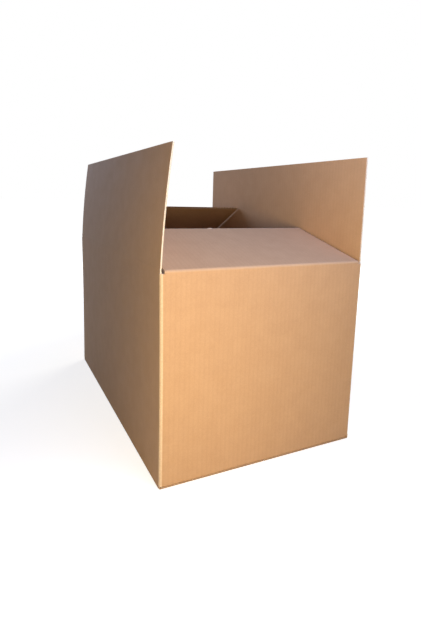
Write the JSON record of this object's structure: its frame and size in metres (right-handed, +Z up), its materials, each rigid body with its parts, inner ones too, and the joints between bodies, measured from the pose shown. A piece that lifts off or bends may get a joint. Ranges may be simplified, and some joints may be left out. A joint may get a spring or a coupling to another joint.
{
  "type": "open cardboard box",
  "caption": "Open shipping carton folded from one slotted blank of corrugated board, with two side flaps standing and two end flaps part raised.",
  "frame": {"origin": "centre of the box's footprint, on the surface it stands on", "axes": "+X across the end walls to the right flap, +Y along the side walls to the far end, +Z up"},
  "size_m": [0.367, 0.582, 0.5],
  "materials": {
    "kraft_board": "matt unbleached kraft paper over fluting"
  },
  "bodies": {
    "box": {"carton_body": "kraft_board"},
    "left_flap": {"left_flap": "kraft_board"},
    "right_flap": {"right_flap": "kraft_board"},
    "near_flap": {"near_flap": "kraft_board"},
    "far_flap": {"far_flap": "kraft_board"}
  },
  "joints": [
    {"name": "left_flap_fold", "type": "hinge", "parent": "box", "child": "left_flap", "pos_m": [-0.18365, 0, 0.326], "axis": [0, -1, 0], "range_deg": [0, 180]},
    {"name": "right_flap_fold", "type": "hinge", "parent": "box", "child": "right_flap", "pos_m": [0.18365, 0, 0.326], "axis": [0, 1, 0], "range_deg": [-1.5, 180]},
    {"name": "near_flap_fold", "type": "hinge", "parent": "box", "child": "near_flap", "pos_m": [0, -0.289, 0.324], "axis": [1, 0, 0], "range_deg": [-15, 12]},
    {"name": "far_flap_fold", "type": "hinge", "parent": "box", "child": "far_flap", "pos_m": [0, 0.289, 0.324], "axis": [-1, 0, 0], "range_deg": [-27, 0]}
  ]
}
